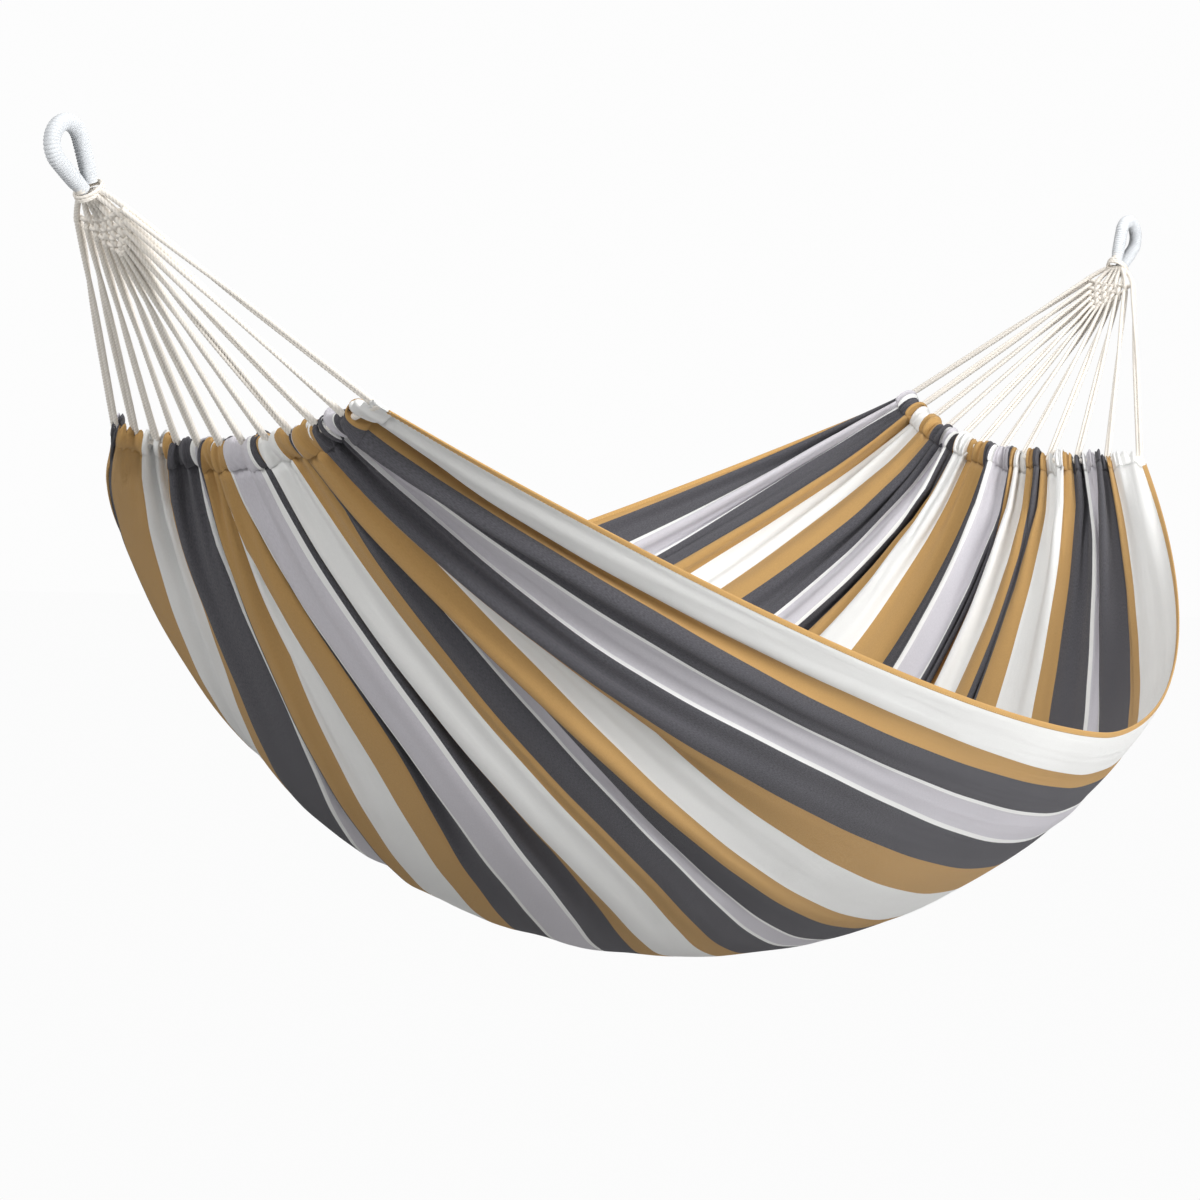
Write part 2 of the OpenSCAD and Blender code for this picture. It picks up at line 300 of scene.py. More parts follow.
@dataclass(frozen=True)
class EndPleats:
    """How the sheet is bunched on one end's edge cord.

    Attributes:
        side: which end.
        fine: pleats across the sheet right at the sleeve.
        broad: folds that carry on into the bed, about one to a cord.
        swell: long waves that reach the middle of the bed.
        tucks: deep folds, as their place and width on the flat sheet.
        tuck_way: 1 where the tucks go to the lying side, -1 where they go underneath.
        seed: seed of the irregular spacing.
        tuck_scale: brings the steepest turn in a tuck to about 1.
    """

    side: Side
    fine: float
    broad: float
    swell: float
    tucks: tuple[tuple[float, float], ...]
    tuck_way: int
    seed: int
    tuck_scale: float = 2.33

    def wander(self, v: Vec, waves: int, size: float, salt: int) -> Vec:
        """A smooth irregular curve over the flat width."""
        draw = np.random.default_rng(self.seed * 100 + salt)
        total = np.zeros_like(v)
        for k in range(1, waves + 1):
            total += draw.normal() / math.sqrt(k) * np.sin(2 * math.pi * (k * 0.83 * v + draw.random()))
        return size * total

    def waves(self, v: Vec, count: float, salt: int) -> Vec:
        """Pleats of uneven width and depth over the flat width."""
        turn = 2 * math.pi * count * v + self.wander(v, 7, 0.75, salt)
        depth = 1.0 + 0.35 * np.tanh(self.wander(v, 9, 0.9, salt + 1))
        return depth * (np.sin(turn) + 0.16 * np.sin(2 * turn + 0.8))

    def tuck_turn(self, v: Vec, flat_width: float) -> tuple[Vec, Vec]:
        """The turn of the cloth in the tucks, over and back again, and where the tucks are."""
        turn, where = np.zeros_like(v), np.zeros_like(v)
        for centre, width in self.tucks:
            x = (v * flat_width - centre) / (0.5 * width)
            turn -= self.tuck_way * self.tuck_scale * x * np.exp(-x * x)
            where = np.maximum(where, np.exp(-(x**4) / 8))
        return turn, where


@dataclass(frozen=True)
class FoldedSheet:
    """The sheet with its pleats: places on the flat sheet in, points in the air out.

    Attributes:
        shape: the smooth surface that the pleats stand on.
        gather: where each band lies across that surface.
        pleats: how the left and the right end are bunched.
        fine_weight, crease_weight, swell_weight: strength of those waves beside the broad folds' 1.
        fine_reach, gather_reach, crease_reach, broad_reach: how far from an end each sort of fold dies away.
        gather_height: height of the upright folds beside a sleeve.
        even_reach: distance from an end past which the cloth is evenly spread.
        deep_reach: distance from an end past which the folds flatten.
        least_slack, end_slack, end_reach: slack that every part keeps, at mid-bed and more at the ends.
        most_slack: the most slack that any part may take up.
        most_turn: the furthest that the cloth may turn out of the surface, in radians.
        hand_over: u to each side of mid-bed over which one end's folds give way to the other's.
        flat_margin: share of the width beside each hem over which the folds die away.
        mid_lift: share of a fold's height that is left far from the ends.
        band_window, place_window, lift_window: lengths over which the spread of the bands, the drift
            across the bed and the height of the folds are evened out.
        samples: places across the sheet at which the folds are worked out.
        ripple: height of the small unevenness of the cloth.
    """

    shape: BedShape
    gather: Gather
    pleats: tuple[EndPleats, EndPleats]
    fine_weight: float = 1.1
    crease_weight: float = 0.6
    swell_weight: float = 0.22
    fine_reach: float = 0.42
    gather_reach: float = 0.09
    gather_height: float = 5.2 * MM
    crease_reach: float = 0.60
    broad_reach: float = 0.75
    even_reach: float = 0.60
    deep_reach: float = 0.50
    least_slack: float = 0.0035
    end_slack: float = 0.19
    end_reach: float = 0.52
    most_slack: float = 0.90
    most_turn: float = 2.0
    hand_over: float = 0.35
    flat_margin: float = 0.015
    mid_lift: float = 0.4
    band_window: float = 0.014
    place_window: float = 0.035
    lift_window: float = 0.100
    samples: int = 1601
    ripple: float = 0.7 * MM

    def turns(self, u: Vec, v: Vec) -> Vec:
        """The cloth's turn out of the surface, as a share of what its slack asks for."""
        reach = (1.0 - np.abs(u)) * self.shape.flat_length / 2
        total = np.zeros((len(u), len(v)))
        for end in self.pleats:
            near = smooth(end.side.sign * u, -self.hand_over, self.hand_over)[:, None]
            fine = self.fine_weight * np.exp(-((reach / self.fine_reach) ** 2))[:, None]
            broad = np.exp(-((reach / self.broad_reach) ** 2))[:, None]
            crease = self.crease_weight * np.exp(-((reach / self.crease_reach) ** 2))[:, None]
            crease = crease + np.exp(-((reach / self.gather_reach) ** 2))[:, None]
            sway = v[None, :] + 0.05 * reach[:, None] * np.sin(3 * math.pi * v)[None, :]
            free = (fine * end.waves(v, end.fine, 1)
                    + broad * end.waves(v, end.broad, 11)
                    + crease * end.waves(v, 1.7 * end.fine, 31)
                    + self.swell_weight * end.waves(sway, end.swell, 21))
            free /= np.sqrt(fine**2 + broad**2 + crease**2 + self.swell_weight**2)
            turn, where = end.tuck_turn(v, self.shape.flat_width)
            share = where[None, :] * (0.25 + 0.65 * smooth(reach, 0.02, 0.16))[:, None]
            total += near * (free * (1 - share) + turn[None, :] * share)
        return total

    def gathers(self, w: Vec) -> Vec:
        """The small upright folds beside the sleeve, from about -1 to 1, at places across the bed."""
        first = 2 * np.abs(np.sin(math.pi * 41 * w + 1.6 * np.sin(2 * math.pi * 5 * w))) - 1
        second = np.sin(2 * math.pi * 67 * w + 2.0 * np.sin(2 * math.pi * 9 * w))
        return 0.72 * first + 0.28 * second

    def slack_turn(self, goal: Vec) -> Vec:
        """How far a wave has to turn for its mean cosine to be the goal."""
        sizes = np.linspace(0.0, 2.40, 121)
        phases = np.sin(np.linspace(0.0, 2 * math.pi, 96, endpoint=False))
        means = np.cos(sizes[:, None] * phases[None, :]).mean(axis=1)
        return np.interp(goal, means[::-1], sizes[::-1])

    def softened(self, rows: Vec, reach: float) -> Vec:
        """Each row averaged over a window of the flat width, reach to each side."""
        half = max(1, int(reach / self.shape.flat_width * self.samples))
        kernel = np.hanning(2 * half + 3)
        kernel /= kernel.sum()
        padded = np.pad(rows, ((0, 0), (half + 1, half + 1)), mode="edge")
        return np.stack([np.convolve(row, kernel, mode="valid") for row in padded])

    def lay(self, u: Vec) -> tuple[Vec, Vec, Vec]:
        """How each row of the sheet lies on the smooth surface.

        Args:
            u: the rows, from -1 to 1.

        Returns:
            The flat shares, and for each row and share the place across the surface and the height off it.
        """
        v = np.linspace(0.0, 1.0, self.samples)
        step = self.shape.flat_width * (v[1] - v[0])
        w_even = np.linspace(0.0, 1.0, 241)
        line = self.shape.point(u[:, None], w_even[None, :])
        run = np.cumsum(np.linalg.norm(np.diff(line, axis=1), axis=-1), axis=1)
        run = np.concatenate([np.zeros((len(u), 1)), run], axis=1)
        wanted = self.gather.place(u, v)
        wanted = np.stack([np.interp(w, w_even, r) for w, r in zip(wanted, run)])
        even = run[:, -1:] / self.shape.flat_width
        reach = (1.0 - np.abs(u))[:, None] * self.shape.flat_length / 2
        uneven = np.exp(-((reach / self.even_reach) ** 2))
        bands = self.softened(np.gradient(wanted, step, axis=1), self.band_window)
        cosine = even + (bands - even) * uneven
        least = self.least_slack + self.end_slack * np.exp(-((reach / self.end_reach) ** 2))
        cosine = np.clip(cosine, 1.0 - self.most_slack, 1.0 - least)
        fade = smooth(np.minimum(v, 1.0 - v), 0.0, self.flat_margin)[None, :]
        turn = np.clip(self.slack_turn(cosine) * self.turns(u, v), -self.most_turn, self.most_turn) * fade
        across = running_sum(np.cos(turn), step)
        across += self.softened(wanted - across, self.place_window)
        across -= across[:, :1] * (1 - v) + (across[:, -1:] - run[:, -1:]) * v
        lift = running_sum(np.sin(turn), step)
        lift -= self.softened(lift, self.lift_window)
        lift *= self.mid_lift + (1 - self.mid_lift) * np.exp(-((reach / self.deep_reach) ** 2))
        place = np.stack([np.interp(a, r, w_even) for a, r in zip(across, run)])
        return v, place, lift

    def at(self, u: Vec, v: Vec, off: Vec | float = 0.0) -> Vec:
        """Places of a grid of rows u and columns v on the folded sheet.

        Args:
            u: rows from -1 to 1.
            v: columns, as shares of the flat width.
            off: extra height on the lying side.

        Returns:
            An array of points, rows by columns.
        """
        fine_v, place, lift = self.lay(u)
        w = np.stack([np.interp(v, fine_v, row) for row in place])
        height = np.stack([np.interp(v, fine_v, row) for row in lift])
        ripple = np.sin(31 * u[:, None] + 47 * v[None, :]) * np.sin(19 * u[:, None] - 71 * v[None, :] + 1.0)
        edge = smooth(np.minimum(v, 1.0 - v), 0.01, 0.06)[None, :]
        reach = (1.0 - np.abs(u))[:, None] * self.shape.flat_length / 2
        gathered = self.gather_height * np.exp(-reach / self.gather_reach) * self.gathers(w)
        height = height + (self.ripple * ripple + gathered) * edge + off
        grid_u = np.broadcast_to(u[:, None], w.shape)
        _, _, inward = self.shape.frames(grid_u, w)
        return self.shape.point(grid_u, w) + height[..., None] * inward


# ---------------------------------------------------------------- meshes


def filled(name: str, bm: bmesh.types.BMesh) -> bpy.types.Mesh:
    """A new mesh from a bmesh, which is freed."""
    mesh = bpy.data.meshes.new(name)
    bm.to_mesh(mesh)
    bm.free()
    return mesh


def shown(name: str, mesh: bpy.types.Mesh) -> bpy.types.Object:
    """A new object at the origin with a mesh."""
    obj = bpy.data.objects.new(name, mesh)
    bpy.context.collection.objects.link(obj)
    return obj


def sheet_mesh(name: str, rows: int, columns: int, place: Callable[[Vec, Vec], Vec],
               uv: Callable[[Vec, Vec], tuple[Vec, Vec]], tube: bool = False) -> bpy.types.Object:
    """A grid laid out by a function.

    Args:
        name: the piece's name.
        rows: faces along the first direction.
        columns: faces along the second direction.
        place: gives points, rows by columns, for shares of the two directions.
        uv: gives the two texture lengths in metres for the same shares.
        tube: whether the second direction closes on itself, with both ends filled.

    Returns:
        The new object, at the origin.
    """
    bm = bmesh.new()
    bmesh.ops.create_grid(bm, x_segments=rows, y_segments=columns, size=0.5)
    mesh = filled(name, bm)
    flat = np.empty(len(mesh.vertices) * 3)
    mesh.vertices.foreach_get("co", flat)
    flat = flat.reshape(-1, 3) + 0.5
    row = np.rint(flat[:, 0] * rows).astype(int)
    column = np.rint(flat[:, 1] * columns).astype(int)
    s, t = np.linspace(0.0, 1.0, rows + 1), np.linspace(0.0, 1.0, columns + 1)
    points = place(s, t)
    mesh.vertices.foreach_set("co", points[row, column].ravel())
    lengths = np.stack(np.broadcast_arrays(*uv(s[:, None], t[None, :])), -1)
    corner = np.empty(len(mesh.loops), dtype=np.int32)
    mesh.loops.foreach_get("vertex_index", corner)
    layer = mesh.uv_layers.new(name="UVMap")
    layer.data.foreach_set("uv", lengths[row, column][corner].astype(np.float32).ravel())
    if tube:
        bm = bmesh.new()
        bm.from_mesh(mesh)
        bmesh.ops.remove_doubles(bm, verts=bm.verts, dist=1e-6)
        edges = [e for e in bm.edges if e.is_boundary]
        bmesh.ops.holes_fill(bm, edges=edges, sides=0)
        bmesh.ops.recalc_face_normals(bm, faces=bm.faces)
        bm.to_mesh(mesh)
        bm.free()
    mesh.polygons.foreach_set("use_smooth", [True] * len(mesh.polygons))
    mesh.update()
    return shown(name, mesh)


def joined(name: str, parts: list[bpy.types.Object]) -> bpy.types.Object:
    """Several objects' meshes in one object."""
    bm = bmesh.new()
    for part in parts:
        bm.from_mesh(part.data)
        bpy.data.objects.remove(part)
    return shown(name, filled(name, bm))


def thicken(obj: bpy.types.Object, thickness: float) -> None:
    """Gives a sheet its thickness, half to each side."""
    solid = obj.modifiers.new("thickness", "SOLIDIFY")
    solid.thickness = thickness
    solid.offset = 0.0


def dress(obj: bpy.types.Object, material: bpy.types.Material, slot: str, body: str | None,
          *nodes: str) -> None:
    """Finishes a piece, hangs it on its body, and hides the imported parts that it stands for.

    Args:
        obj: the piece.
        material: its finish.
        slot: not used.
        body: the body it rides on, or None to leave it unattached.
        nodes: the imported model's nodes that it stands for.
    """
    obj.data.materials.append(material)
    if body:
        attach(obj, body)
    if nodes:
        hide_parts(*nodes)
    log.info("%s: %d faces", obj.name, len(obj.data.polygons))


def path_frames(path: Vec, start: Vec) -> tuple[Vec, Vec]:
    """Two directions square to a path that don't twist along it.

    Args:
        path: the points.
        start: a direction for the first of the two, at the first point.

    Returns:
        The two directions at each point.
    """
    tangent = unit(np.gradient(path, axis=0))
    first = np.empty_like(path)
    direction = start
    for i, t in enumerate(tangent):
        direction = direction - t * float(direction @ t)
        direction = direction / np.linalg.norm(direction)
        first[i] = direction
    return first, np.cross(tangent, first)


def path_length(path: Vec) -> float:
    """Length of a path."""
    return float(np.linalg.norm(np.diff(path, axis=0), axis=1).sum())


def swept(line: Vec, square: tuple[Vec, Vec], angle: Vec, size: Vec) -> Vec:
    """Points round a line.

    Args:
        line: the points of the line.
        square: two directions square to it at each point.
        angle: angles round it, rows by columns.
        size: distances from it, rows by columns.

    Returns:
        An array of points, rows by columns.
    """
    first, second = square
    side = np.cos(angle)[..., None] * first[:, None] + np.sin(angle)[..., None] * second[:, None]
    return line[:, None] + size[..., None] * side


def even_path(path: Vec, step: float) -> Vec:
    """The same path with points a step apart."""
    run = np.concatenate([[0.0], np.cumsum(np.linalg.norm(np.diff(path, axis=0), axis=1))])
    count = max(2, int(round(run[-1] / step)))
    even = np.linspace(0.0, run[-1], count + 1)
    return np.stack([np.interp(even, run, path[:, k]) for k in range(3)], -1)


@dataclass(frozen=True)
class Rope:
    """A plied cord: lobes that wind round a path.

    Attributes:
        radius: distance from the centreline to the top of a lobe.
        pitch: length of one turn of the plies.
        lobes: how many plies show.
        groove: depth between two plies, as a share of the radius.
        sides: faces round the cord.
        step: distance between two rings of points.
        phase: where the plies start, in radians.
    """

    radius: float
    pitch: float
    lobes: int = 3
    groove: float = 0.30
    sides: int = 15
    step: float = 1.5 * MM
    phase: float = 0.0

    def mesh(self, name: str, path: Vec, start: Vec) -> bpy.types.Object:
        """Sweeps the cord along a path.

        Args:
            name: the object's name.
            path: the points of the centreline.
            start: a direction square to the path's start.

        Returns:
            The closed mesh as an object.
        """
        line = even_path(path, self.step)
        length = path_length(line)
        square = path_frames(line, start)

        def place(s: Vec, t: Vec) -> Vec:
            """Points of the cord's skin."""
            angle = 2 * math.pi * t[None, :]
            wind = 2 * math.pi * s[:, None] * length / self.pitch + self.phase
            lobe = np.abs(np.cos(0.5 * self.lobes * (angle - wind)))
            size = self.radius * (1.0 - self.groove * (1.0 - lobe) ** 1.5)
            return swept(line, square, angle, size)

        return sheet_mesh(name, len(line) - 1, self.sides, place,
                          lambda s, t: (s * length, t * 2 * math.pi * self.radius), tube=True)


# ---------------------------------------------------------------- finishes


@dataclass(frozen=True)
class Stripe:
    """One band of the woven pattern: its width, its colour, and how flecked its yarn is."""

    width: float
    colour: tuple[int, int, int]
    fleck: float


WHITE = (240, 240, 238)
TAN = (188, 149, 93)
CHARCOAL = (82, 81, 86)
SILVER = (207, 204, 210)
CREAM = (238, 232, 223)
COOL_WHITE = (214, 217, 220)
THREAD = (214, 178, 122)


@dataclass(frozen=True)
class StripedCloth:
    """The woven pattern, repeated from the near hem to the far hem.

    Attributes:
        first: where the first band starts.
        bands: one repeat.
    """

    first: float = 12 * MM
    bands: tuple[Stripe, ...] = (
        Stripe(62 * MM, WHITE, 0.05),
        Stripe(38 * MM, TAN, 0.16),
        Stripe(60 * MM, CHARCOAL, 1.0),
        Stripe(7 * MM, WHITE, 0.05),
        Stripe(50 * MM, SILVER, 0.18),
        Stripe(7 * MM, WHITE, 0.05),
        Stripe(60 * MM, CHARCOAL, 1.0),
        Stripe(38 * MM, TAN, 0.16),
    )

    @property
    def repeat(self) -> float:
        """Width of one repeat."""
        return sum(b.width for b in self.bands)

    def material(self, name: str) -> bpy.types.Material:
        """The cloth as a material on a UV map in metres."""
        m = Weaver(name)
        v = m.uv_part("Y")
        u = m.uv_part("X")
        beyond = m.math("MAXIMUM", m.math("SUBTRACT", v, self.first), 0.0)
        phase = m.math("FRACT", m.math("DIVIDE", beyond, self.repeat))
        colour = m.ramp(phase, [(b.width, linear(b.colour)) for b in self.bands])
        fleck = m.ramp(phase, [(b.width, (b.fleck,) * 3 + (1.0,)) for b in self.bands])
        grain = m.math("MULTIPLY", m.math("SUBTRACT", m.noise(u, v, 260.0, 900.0, 2.0), 0.5), fleck)
        cloud = m.math("SUBTRACT", m.noise(u, v, 5.0, 9.0, 3.0), 0.5)
        gain = m.math("ADD", m.math("MULTIPLY_ADD", grain, 1.1, 1.0), m.math("MULTIPLY", cloud, 0.10))
        m.colour(m.scaled(colour, gain))
        weave = m.math("ADD", m.threads(u, 0.9 * MM), m.threads(v, 1.0 * MM))
        crease = m.noise(u, v, 2.6, 42.0, 3.0)
        m.bump(m.math("MULTIPLY_ADD", crease, 16.0, weave), 0.25 * MM, 0.6)
        return m.finish(roughness=0.92, sheen=0.12)


class Weaver:
    """A small writer of node materials for cloth and cord."""

    def __init__(self, name: str) -> None:
        """Starts an empty material with a shader and a UV map."""
        self.material = bpy.data.materials.new(name)
        self.material.use_nodes = True
        self.tree = self.material.node_tree
        self.shader = self.tree.nodes["Principled BSDF"]
        uv = self.tree.nodes.new("ShaderNodeUVMap")
        uv.uv_map = "UVMap"
        self.split = self.tree.nodes.new("ShaderNodeSeparateXYZ")
        self.tree.links.new(uv.outputs[0], self.split.inputs[0])

    def uv_part(self, axis: str) -> bpy.types.NodeSocket:
        """One coordinate of the UV map."""
        return self.split.outputs[axis]

    def put(self, socket: bpy.types.NodeSocket, value: bpy.types.NodeSocket | float) -> None:
        """Links or sets one input."""
        if isinstance(value, bpy.types.NodeSocket):
            self.tree.links.new(value, socket)
        else:
            socket.default_value = value

    def math(self, operation: str, *values: bpy.types.NodeSocket | float) -> bpy.types.NodeSocket:
        """A Math node."""
        node = self.tree.nodes.new("ShaderNodeMath")
        node.operation = operation
        for socket, value in zip(node.inputs, values):
            self.put(socket, value)
        return node.outputs[0]

    def ramp(self, phase: bpy.types.NodeSocket, bands: list[tuple[float, tuple]]) -> bpy.types.NodeSocket:
        """Bands with hard edges: each has a width and a colour."""
        node = self.tree.nodes.new("ShaderNodeValToRGB")
        node.color_ramp.interpolation = "CONSTANT"
        total = sum(width for width, _ in bands)
        at = 0.0
        stops = node.color_ramp.elements
        while len(stops) > 1:
            stops.remove(stops[-1])
        for i, (width, colour) in enumerate(bands):
            stop = stops[0] if i == 0 else stops.new(at / total)
            stop.position = at / total
            stop.color = colour
            at += width
        self.tree.links.new(phase, node.inputs[0])
        return node.outputs[0]

    def noise(self, u: bpy.types.NodeSocket, v: bpy.types.NodeSocket, along: float, across: float,
              detail: float) -> bpy.types.NodeSocket:
        """Noise with its own scale, per metre, along and across."""
        join = self.tree.nodes.new("ShaderNodeCombineXYZ")
        self.put(join.inputs[0], self.math("MULTIPLY", u, along))
        self.put(join.inputs[1], self.math("MULTIPLY", v, across))
        node = self.tree.nodes.new("ShaderNodeTexNoise")
        node.noise_dimensions = "2D"
        node.inputs["Scale"].default_value = 1.0
        node.inputs["Detail"].default_value = detail
        self.tree.links.new(join.outputs[0], node.inputs["Vector"])
        return node.outputs[0]

    def threads(self, along: bpy.types.NodeSocket, pitch: float) -> bpy.types.NodeSocket:
        """A soft ridge for each thread."""
        return self.math("SINE", self.math("MULTIPLY", along, 2 * math.pi / pitch))

    def scaled(self, colour: bpy.types.NodeSocket, gain: bpy.types.NodeSocket) -> bpy.types.NodeSocket:
        """A colour made lighter or darker."""
        node = self.tree.nodes.new("ShaderNodeVectorMath")
        node.operation = "SCALE"
        self.tree.links.new(colour, node.inputs[0])
        self.tree.links.new(gain, node.inputs["Scale"])
        return node.outputs[0]

    def colour(self, value: bpy.types.NodeSocket) -> None:
        """Sets the shader's colour."""
        self.tree.links.new(value, self.shader.inputs["Base Color"])

    def bump(self, height: bpy.types.NodeSocket, distance: float, strength: float) -> None:
        """Raises the surface by a height."""
        node = self.tree.nodes.new("ShaderNodeBump")
        node.inputs["Distance"].default_value = distance
        node.inputs["Strength"].default_value = strength
        self.tree.links.new(height, node.inputs["Height"])
        self.tree.links.new(node.outputs[0], self.shader.inputs["Normal"])

    def finish(self, roughness: float, sheen: float) -> bpy.types.Material:
        """Sets the even values and hands the material over."""
        self.shader.inputs["Roughness"].default_value = roughness
        self.shader.inputs["Sheen Weight"].default_value = sheen
        self.shader.inputs["Specular IOR Level"].default_value = 0.2
        return self.material


@dataclass(frozen=True)
class Yarn:
    """Cotton yarn in one colour, with its fibres, small changes of tone and, where asked, painted shade
    between its plies.

    Attributes:
        colour: the display colour.
        fibre: fibres to the metre, across the yarn.
        tone: how much lighter or darker a place may be.
        ply_groove_shade: how dark the painted shade is on the slanting lines between plies, where the
            grooves fall in shade.
        ply_groove_shade_pitch: distance between those lines of painted shade.
    """

    colour: tuple[int, int, int]
    fibre: float = 2200.0
    tone: float = 0.12
    # painted shade in the grooves between plies: its darkness and the spacing of its lines
    ply_groove_shade: float = 0.0
    ply_groove_shade_pitch: float = 5.0 * MM

    def material(self, name: str) -> bpy.types.Material:
        """The yarn as a material on a UV map in metres."""
        m = Weaver(name)
        u, v = m.uv_part("X"), m.uv_part("Y")
        hair = m.noise(u, v, 0.35 * self.fibre, self.fibre, 2.0)
        cloud = m.noise(u, v, 28.0, 60.0, 2.0)
        tone = m.math("ADD", m.math("MULTIPLY", m.math("SUBTRACT", hair, 0.5), self.tone),
                      m.math("MULTIPLY", m.math("SUBTRACT", cloud, 0.5), 0.6 * self.tone))
        # painted shade: dark slanting lines in the grooves between the plies, where shade falls on the cord
        if self.ply_groove_shade > 0:
            groove_shade_lines = m.threads(m.math("SUBTRACT", u, m.math("MULTIPLY", v, 0.8)), self.ply_groove_shade_pitch)
            tone = m.math("SUBTRACT", tone, m.math("MULTIPLY", m.math("ADD", groove_shade_lines, 1.0), 0.5 * self.ply_groove_shade))
        base = m.tree.nodes.new("ShaderNodeRGB")
        base.outputs[0].default_value = linear(self.colour)
        m.colour(m.scaled(base.outputs[0], m.math("ADD", tone, 1.0)))
        m.bump(hair, 0.06 * MM, 0.4)
        return m.finish(roughness=0.9, sheen=0.1)


# ---------------------------------------------------------------- cloth pieces


